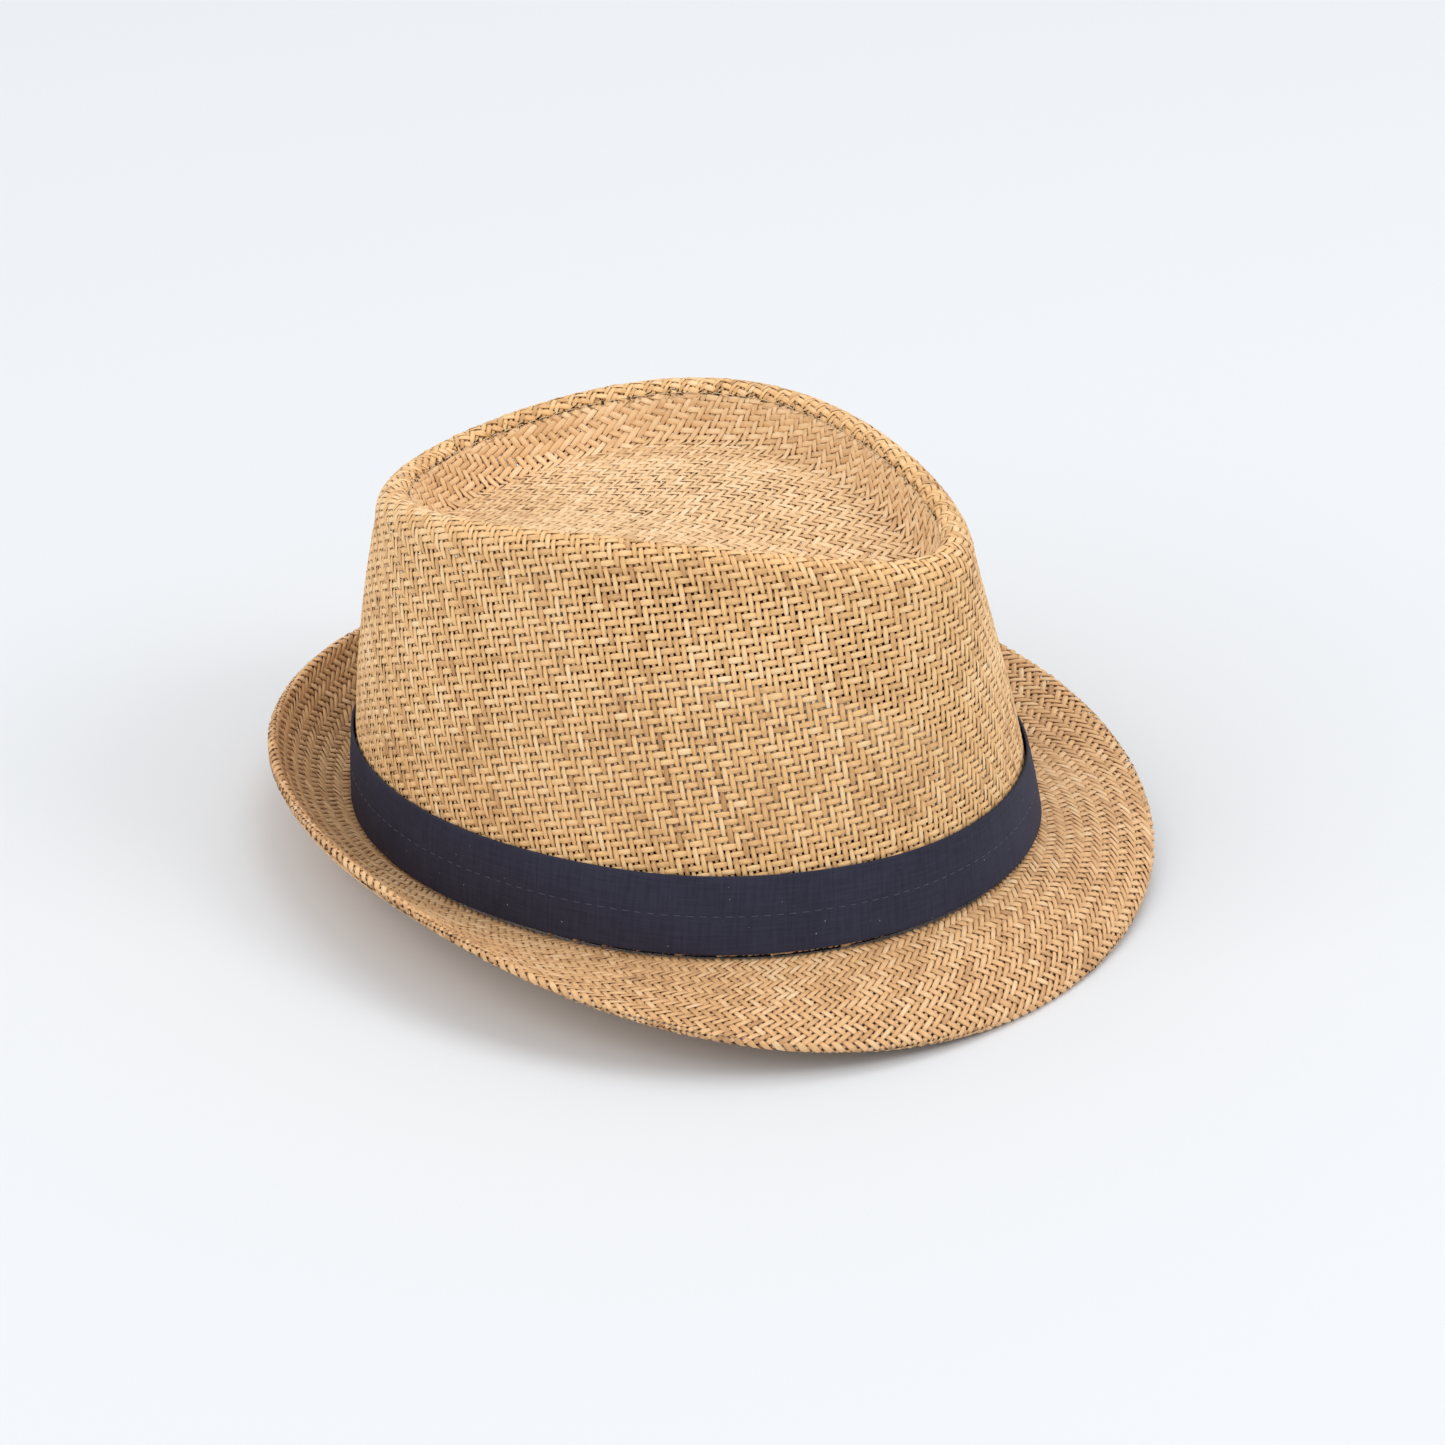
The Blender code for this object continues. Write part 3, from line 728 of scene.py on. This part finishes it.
def stitched_line(name, place, around, length, gap, radius, jitter=0.12):
    """A row of stitches: each a short thread that dives at both ends. place(angle, lift) gives its path;
    around is the row's length, and length, gap and radius are one stitch's, all in metres."""
    count = max(1, int(round(around / (length + gap))))
    pitch = 2 * pi / count
    points, quads, uv = [], [], []
    sides, steps = 6, 7
    ring = np.linspace(0, 2 * pi, sides, endpoint=False)
    for k in range(count):
        share = length / (length + gap) * rng.uniform(1 - jitter, 1 + jitter / 2)
        first = FRONT + (k + rng.uniform(-0.04, 0.04)) * pitch
        t = np.linspace(0, 1, steps)
        lift = radius * (1.9 * np.sin(pi * t) ** 0.5 - 1.2)
        path = place(first + t * share * pitch, lift)
        along = unit(np.gradient(path, axis=0))
        side = unit(np.cross(along, (0, 0, 1.0)))
        up = np.cross(side, along)
        girth = radius * (0.55 + 0.45 * np.sin(pi * t) ** 0.5)
        body = (path[:, None] + girth[:, None, None] * (np.cos(ring)[None, :, None] * side[:, None]
                + np.sin(ring)[None, :, None] * up[:, None]))
        base = k * sides * steps
        i, j = np.arange(steps - 1)[:, None], np.arange(sides)[None, :]
        beside = (j + 1) % sides
        quads.append((base + np.stack([i * sides + j, i * sides + beside, (i + 1) * sides + beside,
                                       (i + 1) * sides + j], 2)).reshape(-1, 4))
        low, high = (k + i / steps + 0 * j) / count, (k + (i + 1) / steps + 0 * j) / count
        left, right = j / sides + 0 * i, (j + 1) / sides + 0 * i
        corners = [np.stack(corner, 2) for corner in ((low, left), (low, right), (high, right), (high, left))]
        uv.append(np.stack(corners, 2).reshape(-1, 2))
        caps = np.array([[0, 5, 4, 3], [0, 3, 2, 1]])
        quads += [base + caps, base + (steps - 1) * sides + caps[:, ::-1]]
        first_u, last_u = k / count, (k + 0.1) / count
        uv.append(np.tile([[first_u, 0.0], [last_u, 0.0], [last_u, 0.02], [first_u, 0.02]], (4, 1)))
        points.append(body.reshape(-1, 3))
    return mesh_object(name, on_stance(np.concatenate(points)), np.concatenate(quads), np.concatenate(uv))


def waves(angle, count, size, seed):
    """Gentle seeded undulation round the hat that closes on itself."""
    local = np.random.RandomState(seed)
    total = np.zeros_like(angle)
    for k in range(1, count + 1):
        total += local.normal(0, 1) / k ** 0.5 * np.sin(k * angle + local.uniform(0, 2 * pi))
    return total * size


def band_place(angle, share, out):
    """The band's surface, grooved by its row of stitches; out is from the middle of its thickness."""
    flare = BAND_FLARE * (1 - share)
    groove = 0.16 * MM * np.exp(-((share - 0.5) * BAND_HEIGHT / (0.55 * MM)) ** 2)
    outer = np.clip(out / (BAND_THICKNESS / 2), 0, 1)
    stand = waves(angle, 9, 0.05 * MM, 3) + waves(angle, 60, 0.006 * MM, 4)
    pucker = waves(angle, 150, 0.0022 * MM, 5) * np.exp(-((share - 0.5) / 0.22) ** 2)
    height = BAND_FOOT + BAND_HEIGHT * share + waves(angle, 12, 0.05 * MM, 6)
    relief = stand + (pucker - groove) * outer + 0.05 * MM
    return wall(angle, height, GAP + flare + BAND_THICKNESS / 2 + out + relief)


def make_band():
    angles = FRONT + 2 * pi * np.arange(1080) / 1080
    section = strip_section(BAND_THICKNESS / 2, BAND_HEIGHT, 22)
    band = swept_strip("hat_band_cloth", angles, section, band_place, np.array([BAND_HEIGHT, 1.0]))
    around = np.linalg.norm(np.diff(band_place(angles, 0.5 + 0 * angles, 0 * angles), axis=0), axis=1).sum()
    out = BAND_THICKNESS / 2

    def on_groove(a, lift):
        return band_place(a, 0.5 + 0 * a, out + 0 * a) + lift[:, None] * outward(oval, a)

    stitches = stitched_line("hat_band_stitches", on_groove, around, 2.6 * MM, 0.9 * MM, 0.2 * MM)
    loop_angles = np.linspace(-8 * MM, 8 * MM, 40) / HALF_WIDTH
    loop_section = strip_section(0.4 * MM, BAND_HEIGHT, 22)

    def loop_place(angle, share, o):
        """The loop bows over the band and tucks in round its two edges."""
        tuck = 1.1 * MM * np.abs(2 * share - 1) ** 8
        side = 0.35 * MM * np.abs(angle * HALF_WIDTH / (8 * MM)) ** 6
        return band_place(angle, np.clip(share * 1.02 - 0.01, -0.02, 1.02), o + 1.75 * MM - tuck - side)

    loop = swept_strip("hat_band_loop", loop_angles, loop_section, loop_place, np.array([BAND_HEIGHT, 1.0]),
                       closed=False)
    return band, stitches, loop


def sweat_place(angle, share, out):
    """The sweatband's surface, grooved by the stitches near its foot; out is from its middle."""
    height = SWEAT_FOOT + SWEAT_HEIGHT * share + waves(angle, 10, 0.06 * MM, 8) * share
    groove = 0.12 * MM * np.exp(-((share - SWEAT_SEAM_SHARE) * SWEAT_HEIGHT / (0.5 * MM)) ** 2)
    inner = np.clip(-out / (SWEAT_THICKNESS / 2), 0, 1)
    lean = waves(angle, 8, 0.05 * MM, 9) * share
    inset = SWEAT_FACE - SWEAT_THICKNESS / 2 - 0.1 * MM
    point = wall(angle, np.maximum(height, 0), inset + out + groove * inner + lean)
    point[..., 2] = height
    return point


def make_sweatband():
    angles = FRONT + 2 * pi * np.arange(720) / 720
    section = strip_section(SWEAT_THICKNESS / 2, SWEAT_HEIGHT, 20)
    band = swept_strip("sweatband_cloth", angles, section, sweat_place, np.array([SWEAT_HEIGHT, 1.0]))

    def on_face(a, lift):
        face = sweat_place(a, SWEAT_SEAM_SHARE + 0 * a, -SWEAT_THICKNESS / 2 + 0 * a)
        return face - lift[:, None] * outward(oval, a)

    stitches = stitched_line("sweatband_stitches", on_face, SWEAT_ROUND, 3.0 * MM, 1.2 * MM, 0.2 * MM)
    joint_angles = BACK + np.linspace(-8 * MM, 8 * MM, 40) / HALF_LENGTH
    joint_section = strip_section(0.25 * MM, SWEAT_HEIGHT - 4 * MM, 20)

    def joint_place(angle, share, o):
        return sweat_place(angle, 0.125 + 0.75 * share + 0 * angle, o - 1.0 * MM)

    joint = swept_strip("sweatband_seam", joint_angles, joint_section, joint_place,
                        np.array([SWEAT_HEIGHT, 1.0]), closed=False)
    return band, stitches, joint


def seam_stitches():
    """Stitches down in the seam between the crown side and the tip."""
    def in_seam(a, lift):
        point = dish_side(a, np.full_like(a, SEAM_LINE))
        point[..., 2] += lift - 0.3 * MM
        return point

    return stitched_line("crown_seam_stitches", in_seam, TIP_SEAM_ROUND, 3.2 * MM, 1.0 * MM, 0.15 * MM)


# ---- Make the pieces.
CROWN_TONES = ((0.40, 0.185, 0.062), (0.83, 0.50, 0.215), (0.94, 0.71, 0.43))
crown_straw = straw_material("crown_straw_woven", *CROWN_TONES)
# The tip's straw is a lighter, paler copy of the crown's: painted light on the upward-facing dish.
TIP_LIT_TONES = ((0.55, 0.30, 0.125), (0.83, 0.545, 0.285), (0.94, 0.73, 0.48))
tip_straw = straw_material("tip_straw_woven", *TIP_LIT_TONES)
# The brim's straw is a darker copy of the crown's: painted shade on the brim.
BRIM_SHADED_TONES = ((0.38, 0.18, 0.07), (0.745, 0.435, 0.20), (0.90, 0.655, 0.40))
brim_straw = straw_material("brim_straw_woven", *BRIM_SHADED_TONES)
UNDER_TONES = ((0.49, 0.24, 0.09), (0.76, 0.45, 0.205), (0.89, 0.64, 0.39))
under_straw = straw_material("under_straw_woven", *UNDER_TONES)
NAVY = ((0.006, 0.006, 0.014), (0.046, 0.046, 0.082))
band_cotton = cotton_material("band_cotton_woven", *NAVY, lint=0.6)
DARK_NAVY = ((0.010, 0.011, 0.018), (0.030, 0.032, 0.048))
sweat_cotton = cotton_material("sweatband_cotton_woven", *DARK_NAVY, sheen=0.15)
band_thread = thread_material("band_thread_twisted", (0.022, 0.024, 0.045), (0.06, 0.062, 0.10))
sweat_thread = thread_material("sweatband_thread_twisted", (0.04, 0.042, 0.07), (0.10, 0.105, 0.16))
straw_thread = thread_material("straw_thread_twisted", (0.50, 0.36, 0.20), (0.75, 0.60, 0.40))
tape = cotton_material("seam_tape_woven", (0.42, 0.34, 0.23), (0.62, 0.53, 0.40), uv=False, threads=1400.0)
stay = cotton_material("stay_tape_woven", (0.05, 0.05, 0.05), (0.12, 0.12, 0.12), uv=False, threads=1400.0)
felt = cotton_material("interlining_fused", (0.30, 0.19, 0.10), (0.44, 0.30, 0.17), uv=False, threads=900.0,
                       vary=0.8)
satin = cotton_material("label_satin_woven", (0.72, 0.71, 0.68), (0.86, 0.85, 0.82), uv=False, threads=2200.0,
                        sheen=0.4)
steel = steel_material("edge_wire_steel")


def dress(piece, material, slot, *nodes):
    piece.data.materials.clear()
    piece.data.materials.append(material)
    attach(piece, "root")
    if nodes:
        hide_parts(*nodes)
    return piece


def keep_node(name, material):
    """A CAD node that stays as it is, with a finished material."""
    node = NODES[name]
    for socket in node.material_slots:
        socket.material = material
    return node


crown = [dress(p, crown_straw, "crown_straw", "crown_side") for p in make_crown_side()]
tip = [dress(p, tip_straw, "crown_straw", "crown_tip") for p in make_crown_tip()]
brim_top = [dress(p, brim_straw, "brim_straw", "brim_top")
            for p in make_brim("brim_top", brim_top_rows, -1.0)]
brim_under = [dress(p, under_straw, "under_straw", "brim_under")
              for p in make_brim("brim_under", brim_under_rows, 1.0)]
band, band_stitches, band_loop = make_band()
dress(band, band_cotton, "band_cotton", "hat_band")
dress(band_stitches, band_thread, "band_thread", "hat_band_thread")
dress(band_loop, band_cotton, "band_cotton", "hat_band_joint")
sweat, sweat_stitches, sweat_seam = make_sweatband()
dress(sweat, sweat_cotton, "sweatband_cotton", "sweatband")
dress(sweat_stitches, sweat_thread, "band_thread", "sweatband_thread")
dress(sweat_seam, sweat_cotton, "sweatband_cotton", "sweatband_joint")
dress(seam_stitches(), straw_thread, "straw_thread", "crown_tip_thread")
keep_node("crown_tip_tape", tape)
keep_node("crown_back_tape", tape)
keep_node("head_stay_tape", stay)
keep_node("brim_interlining", felt)
keep_node("brim_edge_wire", steel)
keep_node("care_label", satin)
keep_node("size_label", satin)

# ---- Floor, light and camera.
bpy.ops.mesh.primitive_grid_add(x_subdivisions=4, y_subdivisions=4, size=12)
floor = bpy.context.object
floor.name = "studio_floor"
paper = Shading("studio_paper")
floor.data.materials.append(paper.finish((0.735, 0.745, 0.762, 1), 0.9, specular=0.1))

scene = bpy.context.scene
scene.view_settings.view_transform = "Standard"
world = bpy.data.worlds.new("studio_world")
scene.world = world
world.use_nodes = True
world.node_tree.nodes["Background"].inputs[0].default_value = (0.93, 0.965, 1.0, 1)
world.node_tree.nodes["Background"].inputs[1].default_value = 0.86

CAMERA_AZIMUTH, CAMERA_ELEVATION = radians(-50.16), radians(29.01)
CAMERA_DISTANCE = 1.6946
FOCAL, SENSOR = 147.7, 36.0
RIGHT = Vector((cos(CAMERA_AZIMUTH), sin(CAMERA_AZIMUTH), 0))
LEVEL = cos(CAMERA_ELEVATION)
TOWARDS = Vector((sin(CAMERA_AZIMUTH) * LEVEL, -cos(CAMERA_AZIMUTH) * LEVEL, sin(CAMERA_ELEVATION)))
UP = TOWARDS.cross(RIGHT)
TARGET = Vector((0, CENTRE_SHIFT, STAND_HEIGHT + 51 * MM)) + 9.42 * MM * RIGHT - 20.93 * MM * UP


def aimed(item, place, at):
    item.location = place
    item.rotation_euler = (Vector(at) - Vector(place)).to_track_quat("-Z", "Y").to_euler()
    scene.collection.objects.link(item)


camera = bpy.data.objects.new("camera", bpy.data.cameras.new("camera"))
camera.data.lens, camera.data.sensor_width = FOCAL, SENSOR
camera.data.clip_start, camera.data.clip_end = 0.05, 50
aimed(camera, TARGET + CAMERA_DISTANCE * TOWARDS, TARGET)
scene.camera = camera

BEHIND = Vector((-TOWARDS.x, -TOWARDS.y, 0)).normalized()
for name, place, size, power in (
    ("key", 1.6 * RIGHT - 0.45 * BEHIND + Vector((0, 0, 1.5)), 0.9, 12.0),
    ("fill", -1.4 * RIGHT - 0.9 * BEHIND + Vector((0, 0, 1.3)), 1.6, 11.5),
    ("overhead", 0.3 * RIGHT + 0.5 * BEHIND + Vector((0, 0, 2.2)), 1.2, 8.5),
):
    lamp = bpy.data.objects.new(name, bpy.data.lights.new(name, "AREA"))
    lamp.data.size = size
    lamp.data.energy = power
    lamp.data.color = (1.0, 0.985, 0.96)
    aimed(lamp, place, (0, 0, 0.05))


# ---- Lengths round the hat and down the front of its faces, and the points of the seam line.
def run_length(points):
    """The length of a line through points, in metres."""
    return float(np.linalg.norm(np.diff(points, axis=0), axis=1).sum())


def down_front(rows):
    """The length of a face's section at the front."""
    return run_length(np.array([row[0] for row in rows(np.array([FRONT]))]))


TURNS_ROUND = np.linspace(-pi, pi, 721)
FOOT_ROUND = run_length(oval(TURNS_ROUND))
BRIM_ROUND = run_length(brim(TURNS_ROUND, np.full(721, 0.5), 0.0))
crown_tall = down_front(crown_rows)
side_edge = dish_side(TURNS_ROUND, np.full(721, SEAM_LINE))
down_front(brim_top_rows)
down_front(brim_under_rows)
